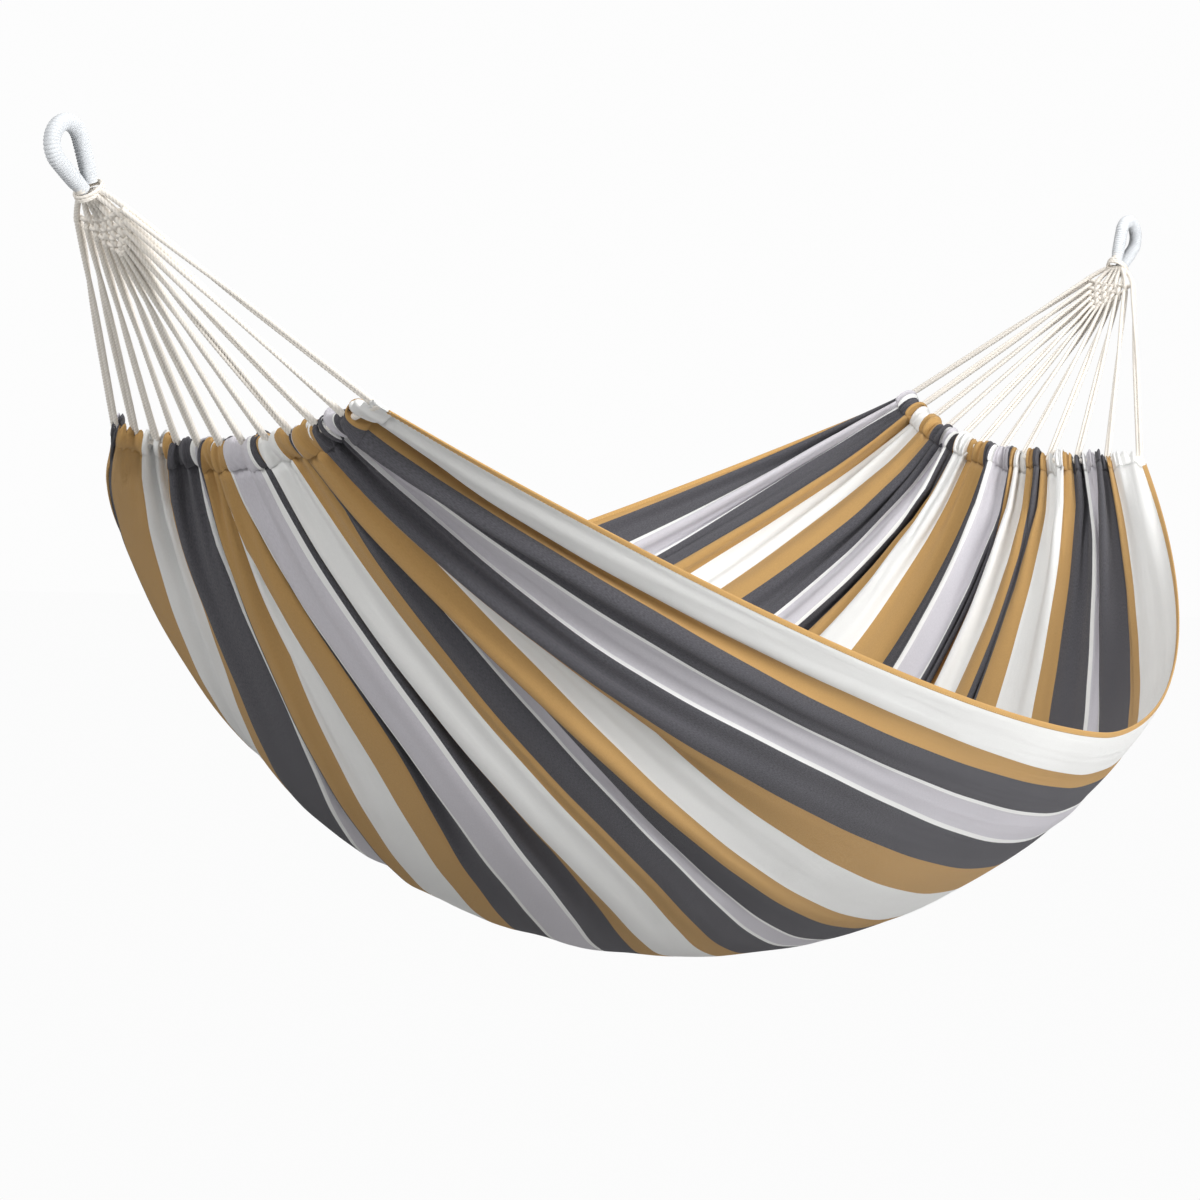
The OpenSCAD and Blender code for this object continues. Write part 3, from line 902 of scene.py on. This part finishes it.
@dataclass
class Bed:
    """The sheet with its sleeves, hems and sewing.

    Attributes:
        folded: how the sheet lies.
        cloth: its woven pattern.
        rows, columns: faces along and across the sheet.
        cloth_thickness: thickness of the sheet and the sleeves.
        end_speed: metres of the hung surface to one unit of u, close to an end.
        sleeve_depth: length of cloth folded over the edge cord.
        sleeve_top, sleeve_half: how far a sleeve stands past the edge cord and off it to each side.
        sleeve_columns, sleeve_rows: faces across and round a sleeve.
        sleeve_cloth: length of pattern on a sleeve, where the sheet's half length is 1.
        hem_width, hem_thickness: size of the bound tape.
        hem_past: how far the tape stands out past the cloth's edge.
        hem_reach: share of each half of the bed that the tape covers.
        hem_puckers, hem_pucker: how many small swellings the tape has, and their height as a share of
            its thickness.
        hem_rows, hem_sides: faces along and round the tape.
        stitch: length of one stitch.
        stitch_gap: distance between the starts of two stitches, in stitch lengths.
        stitch_share: share of that distance that is thread.
        stitch_inset: how much nearer the cloth's edge the sewing is than one tape width.
        thread_r: radius of the thread.
        cord_count: cords at each end.
        first_foot: share of the width before the first cord.
    """

    folded: FoldedSheet
    cloth: StripedCloth = field(default_factory=StripedCloth)
    rows: int = 124
    columns: int = 380
    cloth_thickness: float = 1.1 * MM
    end_speed: float = 1.72
    sleeve_depth: float = 25 * MM
    sleeve_top: float = 10 * MM
    sleeve_half: float = 8.5 * MM
    sleeve_columns: int = 760
    sleeve_rows: int = 22
    sleeve_cloth: float = 0.06
    hem_width: float = 7.5 * MM
    hem_thickness: float = 2.6 * MM
    hem_past: float = 1.0 * MM
    hem_reach: float = 0.992
    hem_puckers: int = 260
    hem_pucker: float = 0.16
    hem_rows: int = 480
    hem_sides: int = 14
    stitch: float = 3.6 * MM
    stitch_gap: float = 1.35
    stitch_share: float = 0.74
    stitch_inset: float = 2.4 * MM
    thread_r: float = 0.45 * MM
    cord_count: int = 12
    first_foot: float = 0.012

    @property
    def shape(self) -> BedShape:
        """The smooth surface under the sheet."""
        return self.folded.shape

    def seam_u(self, side: Side) -> float:
        """The row where a sleeve is sewn to the sheet."""
        return side.sign * (1.0 - self.sleeve_depth / self.end_speed)

    def row_u(self, s: Vec) -> Vec:
        """Rows of the sheet, closer together towards both sleeves."""
        x = 2 * s - 1
        packed = 0.55 * x + 0.45 * np.sin(0.5 * math.pi * x)
        return packed * self.seam_u(Side.RIGHT)

    def lengths(self, u: Vec, v: Vec) -> tuple[Vec, Vec]:
        """Texture lengths along and across the flat sheet."""
        return 0.5 * (u + 1.0) * self.shape.flat_length, v * self.shape.flat_width

    def build(self) -> None:
        """Builds the sheet and everything sewn to it."""
        stripes = self.cloth.material("striped_sheet")
        tan = Yarn(TAN, fibre=1400.0).material("tan_tape")
        thread = Yarn(THREAD, fibre=3000.0).material("tan_thread")
        sheet = sheet_mesh("sheet_cloth", self.rows, self.columns,
                           lambda s, t: self.folded.at(self.row_u(s), t),
                           lambda s, t: self.lengths(self.row_u(s), t))
        thicken(sheet, self.cloth_thickness)
        dress(sheet, stripes, "striped_sheet", "bed", "sheet")
        extras = []
        for side in Side:
            sleeve = self.sleeve(side)
            dress(sleeve, stripes, "striped_sleeve", "bed", f"{side.value}_sleeve")
            extras.append(sleeve)
        for name, edge in (("near", 0.0), ("far", 1.0)):
            hem = self.hem(f"{name}_hem_tape", edge)
            dress(hem, tan, "tan_hem", "bed", f"{name}_hem")
            sewing = self.stitches(f"{name}_hem_sewing", edge)
            dress(sewing, thread, "tan_hem", "bed")
            extras += [hem, sewing]
        width, length = self.shape.flat_width, self.shape.flat_length

    def sleeve(self, side: Side) -> bpy.types.Object:
        """The end of the sheet, folded over the edge cord and sewn down."""
        end = side.sign
        seam = self.seam_u(side)
        fine_v, place, lift = self.folded.lay(np.array([seam]))

        def surface(s: Vec, t: Vec) -> Vec:
            """s goes round the sleeve from the seam and back, t goes across the sheet."""
            w = np.interp(t, fine_v, place[0])
            rise = np.interp(t, fine_v, lift[0])
            along, _, inward = self.shape.frames(np.full_like(w, float(end)), w)
            outward = along * end
            root = self.folded.at(np.array([seam]), t)[0]
            line = self.shape.end_line(end, w)
            angle = (2 * math.pi * s)[:, None]
            up = 0.5 * (1 - np.cos(angle))
            pinch = 0.5 + 0.5 * np.cos(2 * math.pi * (w - self.first_foot) / (1 - 2 * self.first_foot)
                                      * (self.cord_count - 1))
            pucker = self.folded.gathers(w) + 0.3 * np.sin(2 * math.pi * 151 * t)
            top = self.sleeve_top * (0.8 + 0.7 * (1 - pinch) + 0.22 * pucker)
            crown = line + outward * top[:, None]
            height = self.sleeve_half * (0.92 - 0.34 * pinch + 0.40 * pucker)
            height = height * (0.20 + 0.80 * smooth(np.minimum(t, 1 - t), 0.0, 0.06))
            keep = 1.0 - 0.62 * up
            path = root[None] + (crown - root)[None] * up[..., None]
            sway = (keep - (1.0 - up)) * rise[None, :]
            puff = height[None, :] * np.sin(angle) * (1.0 - 0.25 * np.cos(angle))
            fold = self.folded.gather_height * (0.75 - 0.3 * up) * pucker[None, :]
            return path + (sway + puff + fold * up)[..., None] * inward[None]

        obj = sheet_mesh(f"{side.value}_sleeve_cloth", self.sleeve_rows, self.sleeve_columns, surface,
                         lambda s, t: self.lengths(np.abs(end - s * self.sleeve_cloth), t))
        thicken(obj, self.cloth_thickness)
        return obj

    def edge_path(self, edge: float, inset: float, count: int) -> tuple[Vec, Vec, Vec]:
        """A line along a hem with the directions into the cloth and off it."""
        u = np.linspace(-1.0, 1.0, count) * self.hem_reach
        share = inset / self.shape.flat_width
        v = np.array([abs(edge - share), abs(edge - share - 0.004)])
        pts = self.folded.at(u, v)
        into = unit(pts[:, 1] - pts[:, 0])
        along = unit(np.gradient(pts[:, 0], axis=0))
        off = unit(np.cross(along, into))
        return pts[:, 0], into, off

    def hem(self, name: str, edge: float) -> bpy.types.Object:
        """The tape bound round a long edge: flat, soft and slightly puckered."""
        line, into, off = self.edge_path(edge, 0.0, self.hem_rows + 1)

        def place(s: Vec, t: Vec) -> Vec:
            """Points of the tape's skin."""
            angle = 2 * math.pi * t[None, :]
            swelling = np.sin(2 * math.pi * self.hem_puckers * s)[:, None] * np.abs(np.sin(angle))
            pucker = 1.0 + self.hem_pucker * swelling
            c, d = np.cos(angle), np.sin(angle)
            deep = 0.5 * self.hem_width * (1 + np.sign(c) * np.abs(c) ** 0.6) - self.hem_past
            thick = 0.5 * self.hem_thickness * np.sign(d) * np.abs(d) ** 0.7 * pucker
            return line[:, None] + deep[..., None] * into[:, None] + thick[..., None] * off[:, None]

        length = self.shape.flat_length
        return sheet_mesh(name, self.hem_rows, self.hem_sides, place,
                          lambda s, t: (s * length, t * 2 * self.hem_width), tube=True)

    def stitches(self, name: str, edge: float) -> bpy.types.Object:
        """The row of sewing that holds the tape: short threads on both faces."""
        count = int(self.shape.flat_length / (self.stitch_gap * self.stitch))
        line, into, off = self.edge_path(edge, self.hem_width - self.stitch_inset, 2 * count + 1)
        bm = bmesh.new()
        for i in range(count):
            a = line[2 * i]
            b = a + self.stitch_share * (line[2 * i + 2] - a)
            for face in (-1, 1):
                lift = off[2 * i] * face * (0.5 * self.hem_thickness + 0.1 * MM)
                rise, wide = off[2 * i] * face * self.thread_r, into[2 * i] * self.thread_r
                middle = 0.5 * (a + b) + lift
                ring = [bm.verts.new(middle + x) for x in (rise, wide, -rise, -wide)]
                tips = [bm.verts.new(a + lift - rise), bm.verts.new(b + lift - rise)]
                for k in range(4):
                    bm.faces.new((ring[k], ring[(k + 1) % 4], tips[0]))
                    bm.faces.new((ring[(k + 1) % 4], ring[k], tips[1]))
        bmesh.ops.recalc_face_normals(bm, faces=bm.faces)
        return shown(name, filled(name, bm))


# ---------------------------------------------------------------- cords and eyes


@dataclass
class Hanging:
    """One end's eye, collar, clew and fan of cords.

    Attributes:
        side: which end.
        bed: the cloth that the cords carry.
        cream, white: finishes of the cords and of the eye's serving.
        eye_angle: slope of the neck below the level.
        eye_r, rope_r: radius of the eye's bend along its core, and of the core with its serving.
        leg_angle: angle between a straight leg and the neck.
        gap: space between the legs' ends and the collar.
        turn_r, collar_turns: radius of the whipping cord, and its turns.
        collar_wide, collar_deep: half sizes of the collar along its cord, in and across the eye's plane.
        neck_r: radius of the bundle of cords in the neck.
        neck_half, neck_above: half width of the fan at the neck, and how far above the fan's top that is.
        clew_half, clew_length, clew_shoulder: half width of the clew, and its depth in the middle and
            at its sides.
        warp_r, weft_r: radii of the woven cords.
        warp_rise, weft_rise: how far they pass over and under each other.
        weft_dip: how far a weft hangs in the middle.
        bend_above, bend_below: not used.
        edge_r, edge_pitch: radius and lay of the edge cord.
        cord_r, cord_width, cord_gap: radius of one cord, thickness of a doubled one, which is not used, and
        distance of a cord from the middle of the pair in its own radii.
        lay_pitch: length of one turn of a cord's plies.
        wrap_pitch, wrap_proud, wrap_groove: spacing of the serving, how far its turns stand past
            rope_r, and how deep it is between two turns.
    """

    side: Side
    bed: Bed
    cream: bpy.types.Material
    white: bpy.types.Material
    eye_angle: float = math.radians(53)
    eye_r: float = 24 * MM
    rope_r: float = 9.5 * MM
    leg_angle: float = math.radians(15)
    gap: float = 0.4 * MM
    turn_r: float = 1.8 * MM
    collar_turns: int = 3
    neck_r: float = 5 * MM
    neck_half: float = 11.5 * MM
    neck_above: float = 9 * MM
    clew_half: float = 46 * MM
    clew_shoulder: float = 18 * MM
    clew_length: float = 68 * MM
    warp_r: float = 3.7 * MM
    weft_r: float = 2.9 * MM
    warp_rise: float = 2.3 * MM
    weft_rise: float = 3.0 * MM
    weft_dip: float = 5.5 * MM
    bend_above: float = 8 * MM
    bend_below: float = 12 * MM
    collar_wide: float = 18 * MM
    collar_deep: float = 15 * MM
    edge_r: float = 4.4 * MM
    edge_pitch: float = 18 * MM
    cord_r: float = 3.1 * MM
    cord_width: float = 10.5 * MM
    cord_gap: float = 0.93
    lay_pitch: float = 15 * MM
    wrap_pitch: float = 3.5 * MM
    wrap_proud: float = 0.3 * MM
    wrap_groove: float = 1.3 * MM

    # ---- places on the slope of the neck

    @property
    def leg_half_gap(self) -> float:
        """Half of the distance between the legs' centrelines in the neck."""
        return self.rope_r + 0.3 * MM

    @property
    def leg_length(self) -> float:
        """Length of a straight leg."""
        return (self.eye_r * math.cos(self.leg_angle) - self.leg_half_gap) / math.sin(self.leg_angle)

    @property
    def neck_s(self) -> float:
        """Distance of the legs' ends from the hook's bearing, down the slope."""
        round_part = self.eye_r * (1 + math.sin(self.leg_angle))
        return -self.rope_r + round_part + self.leg_length * math.cos(self.leg_angle)

    @property
    def pivot_s(self) -> float:
        """Distance of the neck's bend from the hook's bearing."""
        return self.neck_s + self.gap + 2 * self.turn_r * self.collar_turns + 1 * MM

    @property
    def slope(self) -> Vec:
        """Direction down the neck."""
        return np.array([-self.side.sign * math.cos(self.eye_angle), 0.0, -math.sin(self.eye_angle)])

    @property
    def upright(self) -> Vec:
        """Direction square to the neck, in the plane of the eye."""
        return np.array([-self.side.sign * math.sin(self.eye_angle), 0.0, math.cos(self.eye_angle)])

    def on_slope(self, s: Vec, t: Vec, y: Vec | float = 0.0) -> Vec:
        """Points from lengths down the neck, square to it and across."""
        origin = np.array([0.0 if self.side is Side.LEFT else self.bed.shape.hook_span, 0.0, 0.0])
        s, t, y = np.broadcast_arrays(np.asarray(s, float), np.asarray(t, float), np.asarray(y, float))
        sideways = np.array([0.0, 1.0, 0.0])
        return origin + s[..., None] * self.slope + t[..., None] * self.upright + y[..., None] * sideways

    # ---- the fan's own frame

    @property
    def fan(self) -> tuple[Vec, Vec, Vec, Vec]:
        """The fan's top, and its directions down, across to the far side, and out of its face."""
        top = self.on_slope(self.pivot_s + self.neck_r + 1.5 * MM, 0.0)
        near, far = self.foot(0), self.foot(self.bed.cord_count - 1)
        down = unit(0.5 * (near + far) + np.array([0.0, 0.0, -self.bed.shape.end_sag]) - top)
        face = unit(np.cross(down, far - near))
        return top, down, np.cross(face, down), face

    def foot(self, i: int) -> Vec:
        """Where cord i meets the edge cord."""
        first = self.bed.first_foot
        share = first + (1 - 2 * first) * i / (self.bed.cord_count - 1)
        return self.bed.shape.end_line(self.side.sign, share)

    def spread(self, i: int) -> float:
        """Place of cord i in the fan, from -1 at the near side to 1 at the far side."""
        return 2 * i / (self.bed.cord_count - 1) - 1

    def exit_drop(self, i: int) -> float:
        """How far down the clew cord i leaves it."""
        return self.clew_length + (self.clew_shoulder - self.clew_length) * abs(self.spread(i)) ** 1.5

    def exit(self, i: int) -> Vec:
        """Where cord i leaves the clew."""
        top, down, across, _ = self.fan
        return top + self.exit_drop(i) * down + self.spread(i) * self.clew_half * across

    # ---- pieces

    def build(self) -> None:
        """Builds this end from the hook down."""
        self.serving()
        self.collar()
        self.clew()
        for i in range(self.bed.cord_count):
            self.cord(i)
        self.edge_cord()

    def teardrop(self, step: float) -> Vec:
        """The centreline of the eye, from one leg's end round the crown to the other's."""
        a = self.leg_angle
        turn = np.linspace(-(math.pi / 2 + a), math.pi / 2 + a, 91)
        arc_s = -self.rope_r + self.eye_r * (1 - np.cos(turn))
        arc_t = self.eye_r * np.sin(turn)
        leg = np.linspace(0.0, 1.0, 20)
        close = 2.6 * MM * leg**2
        leg_s = arc_s[-1] + leg * self.leg_length * math.cos(a)
        leg_t = arc_t[-1] - leg * self.leg_length * math.sin(a) - close
        s = np.concatenate([leg_s[::-1], arc_s[1:-1], leg_s])
        t = np.concatenate([-leg_t[::-1], arc_t[1:-1], leg_t])
        return even_path(self.on_slope(s, t), step)

    def serving(self) -> None:
        """The fine cord wound tightly round the eye, turn by turn."""
        line = self.teardrop(0.36 * MM)
        length = path_length(line)
        square = path_frames(line, np.array([0.0, 1.0, 0.0]))
        draw = np.random.default_rng(7 + self.side.sign)
        knots = draw.normal(0.0, 0.18, 30)

        def place(s: Vec, t: Vec) -> Vec:
            """Points of the ridged skin."""
            angle = 2 * math.pi * t[None, :]
            uneven = np.interp(s, np.linspace(0, 1, len(knots)), knots)[:, None]
            phase = math.pi * (s[:, None] * length / self.wrap_pitch + uneven - t[None, :])
            ridge = np.abs(np.sin(phase)) ** 0.6
            neck = 1.0 - 0.14 * (smooth(s, 0.90, 1.0) + smooth(1 - s, 0.90, 1.0))[:, None]
            size = (self.rope_r + self.wrap_proud - self.wrap_groove * (1.0 - ridge)) * neck
            return swept(line, square, angle, size)

        obj = sheet_mesh(f"{self.side.value}_eye_wrap", len(line) - 1, 32, place,
                         lambda s, t: (t * 0.06, s * length), tube=True)
        dress(obj, self.white, "white_serving", self.side.eye_body, f"{self.side.value}_eye_serving")

    def collar(self) -> None:
        """The whipping under the eye: cord wound round the neck."""
        turns = self.collar_turns + 0.35
        angle = np.linspace(0.0, 2 * math.pi * turns, int(60 * turns))
        start = self.neck_s + self.gap + 0.4 * self.turn_r
        s = start + (angle / (2 * math.pi)).clip(0, self.collar_turns - 1) * 2 * self.turn_r * 0.98
        path = self.on_slope(s, self.collar_wide * np.cos(angle), self.collar_deep * np.sin(angle))
        rope = Rope(self.turn_r * 1.08, 9 * MM, groove=0.16, sides=12, step=1.2 * MM)
        obj = rope.mesh(f"{self.side.value}_collar_whipping", path, self.slope)
        dress(obj, self.cream, "cream_whipping", self.side.eye_body, f"{self.side.value}_collar")

    def clew_over(self, i: int, down: Vec) -> Vec:
        """How far across the fan cord i lies, at depths down the clew."""
        share = np.clip((down + self.neck_above) / (self.exit_drop(i) + self.neck_above), 0.0, 1.0)
        inner = self.neck_half * self.spread(i)
        outer = self.clew_half * self.spread(i)
        return inner + (outer - inner) * share ** (0.62 if abs(self.spread(i)) > 0.5 else 0.75)

    def clew(self) -> None:
        """The nettle weave: fan cords crossed over and under by rows of weft."""
        top, down, across, face = self.fan
        count = self.bed.cord_count
        rows = count // 2
        warp = Rope(self.warp_r, self.lay_pitch, sides=12, step=1.6 * MM)
        weft = Rope(self.weft_r, self.lay_pitch, sides=12, step=1.6 * MM)
        row_drops = np.array([self.exit_drop(r) for r in range(rows)])
        parts = []
        for i in range(count):
            drop = np.linspace(-13 * MM, self.exit_drop(i) + 4 * MM, 60)
            passed = np.interp(drop, row_drops, np.arange(rows), left=0.0)
            woven = smooth(drop, 4 * MM, row_drops[0])
            height = woven * self.warp_rise * np.cos(math.pi * (passed + i))
            height += (1 - woven) * 2.6 * MM * (-1) ** i
            sway = 0.8 * MM * np.sin(2.1 * i + 160 * drop)
            path = (top + drop[:, None] * down + (self.clew_over(i, drop) + sway)[:, None] * across
                    + height[:, None] * face)
            parts.append(warp.mesh(f"warp_{i}", path, face))
        for r in range(rows):
            fine = np.linspace(r, count - 1 - r, 20 * (count - 2 * r))
            end_drop = self.exit_drop(r)
            dip = self.weft_dip * np.sin(math.pi * (fine - r) / (count - 1 - 2 * r)) ** 1.5
            drop = end_drop + dip
            whole = np.arange(count)
            over = np.array([self.clew_over(i, np.array(end_drop)) for i in whole])
            height = -self.weft_rise * np.cos(math.pi * (r + fine))
            path = (top + drop[:, None] * down + np.interp(fine, whole, over)[:, None] * across
                    + height[:, None] * face)
            parts.append(weft.mesh(f"weft_{r}", path, face))
        obj = joined(f"{self.side.value}_clew_weave", parts)
        names = [f"{self.side.value}_{n}" for n in ("clew", "clew_tie", "neck_bundle")]
        dress(obj, self.cream, "cream_clew", None, *names)
        bend = self.on_slope(self.pivot_s, 0.0)
        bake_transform(obj)

    def cord(self, i: int) -> None:
        """One doubled cord: two plied cords from the clew to the edge cord."""
        _, _, across, face = self.fan
        begin, finish = self.exit(i), self.foot(i)
        aim = unit(finish - begin)
        begin = begin - 3 * MM * aim
        share = np.linspace(0.0, 1.0, 33)
        centre = begin + share[:, None] * (finish - begin)
        turn = 0.5 * math.pi * (1 - smooth(share, 0.0, 0.55))
        lay = 0.6 * math.sin(1.7 * i)
        turn = turn + lay * np.sin(math.pi * share)
        offset = np.cos(turn)[:, None] * across + np.sin(turn)[:, None] * face
        rope = Rope(self.cord_r, self.lay_pitch, phase=0.7 * i)
        parts = []
        for half in (-1, 1):
            path = centre + half * self.cord_gap * self.cord_r * offset
            parts.append(rope.mesh(f"half_{half}", path, across))
        name = f"{self.side.value}_cord_{i + 1:02d}"
        obj = joined(f"{name}_plied", parts)
        dress(obj, self.cream, "cream_cord", "bed", name)

    def edge_cord(self) -> None:
        """The cord inside the sleeve, which the fan's cords loop round."""
        w = np.linspace(0.006, 0.994, 121)
        path = self.bed.shape.end_line(self.side.sign, w)
        rope = Rope(self.edge_r, self.edge_pitch, step=2.4 * MM)
        obj = rope.mesh(f"{self.side.value}_edge_rope", path, np.array([0.0, 0.0, 1.0]))
        dress(obj, self.cream, "cream_cord", "bed", f"{self.side.value}_edge_cord")


# ---------------------------------------------------------------- studio


@dataclass(frozen=True)
class Studio:
    """The pale floor, the soft light and the camera.

    Attributes:
        azimuth, elevation: the camera's direction from the target.
        distance, lens: its distance in metres and its lens in millimetres.
        target: the point that it faces.
        floor_z: height of the floor.
        floor_tone, floor_seen: the floor's tone as a light falls on it, and its brightness to the camera.
        world_light, world_seen: the surround's strength as a light, and its brightness to the camera.
    """

    azimuth: float = math.radians(-55.84)
    elevation: float = math.radians(1.85)
    distance: float = 5.766
    lens: float = 133.72
    target: tuple[float, float, float] = (1.0505, 0.0, -0.540)
    floor_z: float = -1.75
    floor_tone: float = 0.55
    floor_seen: float = 0.97
    world_light: float = 0.16
    world_seen: float = 0.98

    def build(self) -> None:
        """Makes the camera, the lights, the world and the floor."""
        a, e = self.azimuth, self.elevation
        back = np.array([math.sin(a) * math.cos(e), -math.cos(a) * math.cos(e), math.sin(e)])
        camera = bpy.data.objects.new("camera", bpy.data.cameras.new("camera"))
        camera.data.lens = self.lens
        camera.data.sensor_width = 36.0
        camera.location = np.array(self.target) + self.distance * back
        camera.rotation_euler = (math.pi / 2 - e, 0.0, a)
        camera.data.clip_end = 200.0
        bpy.context.collection.objects.link(camera)
        bpy.context.scene.camera = camera
        bpy.context.scene.view_settings.view_transform = "Standard"
        self.world()
        self.lamp("key", (-8.0, -0.2, 4.6), 2.0, 500.0)
        self.lamp("fill", (0.6, -6.6, 1.0), 3.4, 500.0)
        self.lamp("top", (1.6, -0.2, 4.4), 2.2, 125.0)
        self.floor()

    def world(self) -> None:
        """An even pale surround, brighter to the eye than as a light."""
        world = bpy.data.worlds.new("surround")
        bpy.context.scene.world = world
        world.use_nodes = True
        tree = world.node_tree
        tree.nodes.clear()
        ray = tree.nodes.new("ShaderNodeLightPath")
        light, seen = tree.nodes.new("ShaderNodeBackground"), tree.nodes.new("ShaderNodeBackground")
        light.inputs["Strength"].default_value = self.world_light
        seen.inputs["Strength"].default_value = self.world_seen
        for shader in (light, seen):
            shader.inputs["Color"].default_value = (1.0, 1.0, 1.0, 1.0)
        mix, out = tree.nodes.new("ShaderNodeMixShader"), tree.nodes.new("ShaderNodeOutputWorld")
        tree.links.new(ray.outputs["Is Camera Ray"], mix.inputs[0])
        tree.links.new(light.outputs[0], mix.inputs[1])
        tree.links.new(seen.outputs[0], mix.inputs[2])
        tree.links.new(mix.outputs[0], out.inputs[0])

    def lamp(self, name: str, place: tuple[float, float, float], size: float, power: float) -> None:
        """A large soft lamp that faces the bed."""
        data = bpy.data.lights.new(name, "AREA")
        data.size = size
        data.energy = power
        lamp = bpy.data.objects.new(name, data)
        lamp.location = place
        bpy.context.collection.objects.link(lamp)
        towards = np.array([self.target[0] + 0.2, 0.0, -0.6]) - np.array(place)
        yaw = math.atan2(-towards[0], towards[1])
        pitch = math.atan2(math.hypot(towards[0], towards[1]), -towards[2])
        lamp.rotation_euler = (pitch, 0.0, yaw)

    def floor(self) -> None:
        """A wide pale floor below the bed."""
        bm = bmesh.new()
        bmesh.ops.create_grid(bm, x_segments=1, y_segments=1, size=30.0)
        floor = shown("floor", filled("floor", bm))
        floor.location = (self.target[0], 0.0, self.floor_z)
        paint = bpy.data.materials.new("floor_paint")
        paint.use_nodes = True
        tree = paint.node_tree
        tree.nodes.clear()
        ray, mix = tree.nodes.new("ShaderNodeLightPath"), tree.nodes.new("ShaderNodeMixShader")
        matt, bright = tree.nodes.new("ShaderNodeBsdfDiffuse"), tree.nodes.new("ShaderNodeEmission")
        out = tree.nodes.new("ShaderNodeOutputMaterial")
        matt.inputs["Color"].default_value = (self.floor_tone,) * 3 + (1.0,)
        bright.inputs["Color"].default_value = (1.0, 1.0, 1.0, 1.0)
        bright.inputs["Strength"].default_value = self.floor_seen
        tree.links.new(ray.outputs["Is Camera Ray"], mix.inputs[0])
        tree.links.new(matt.outputs[0], mix.inputs[1])
        tree.links.new(bright.outputs[0], mix.inputs[2])
        tree.links.new(mix.outputs[0], out.inputs[0])
        floor.data.materials.append(paint)


def main() -> None:
    """Builds the hammock and its studio, and reports each piece."""
    logging.basicConfig(level=logging.INFO, format="%(message)s")
    Studio().build()
    shape = BedShape()
    pleats = (
        EndPleats(Side.LEFT, fine=27.0, broad=11.5, swell=6.2, seed=3, tuck_way=1, tucks=(
            (93 * MM, 60 * MM), (526 * MM, 150 * MM), (767 * MM, 100 * MM), (910 * MM, 80 * MM),
            (1150 * MM, 120 * MM), (1490 * MM, 150 * MM))),
        EndPleats(Side.RIGHT, fine=26.0, broad=12.0, swell=5.4, seed=8, tuck_way=-1, tucks=(
            (204 * MM, 60 * MM), (526 * MM, 170 * MM), (737 * MM, 60 * MM), (1108 * MM, 80 * MM))),
    )
    bed = Bed(FoldedSheet(shape, Gather(shape.flat_width), pleats))
    bed.build()
    # the cream cord gets painted shade on the slanting lines between its plies
    cream = Yarn(CREAM, ply_groove_shade=0.14).material("cream_cotton")
    white = Yarn(COOL_WHITE, fibre=1800.0, tone=0.08).material("white_cotton")
    for side in Side:
        Hanging(side, bed, cream, white).build()
        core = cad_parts[f"{side.value}_eye_core"]
        core.data.materials.clear()
        core.data.materials.append(cream)


if __name__ == "__main__":
    main()
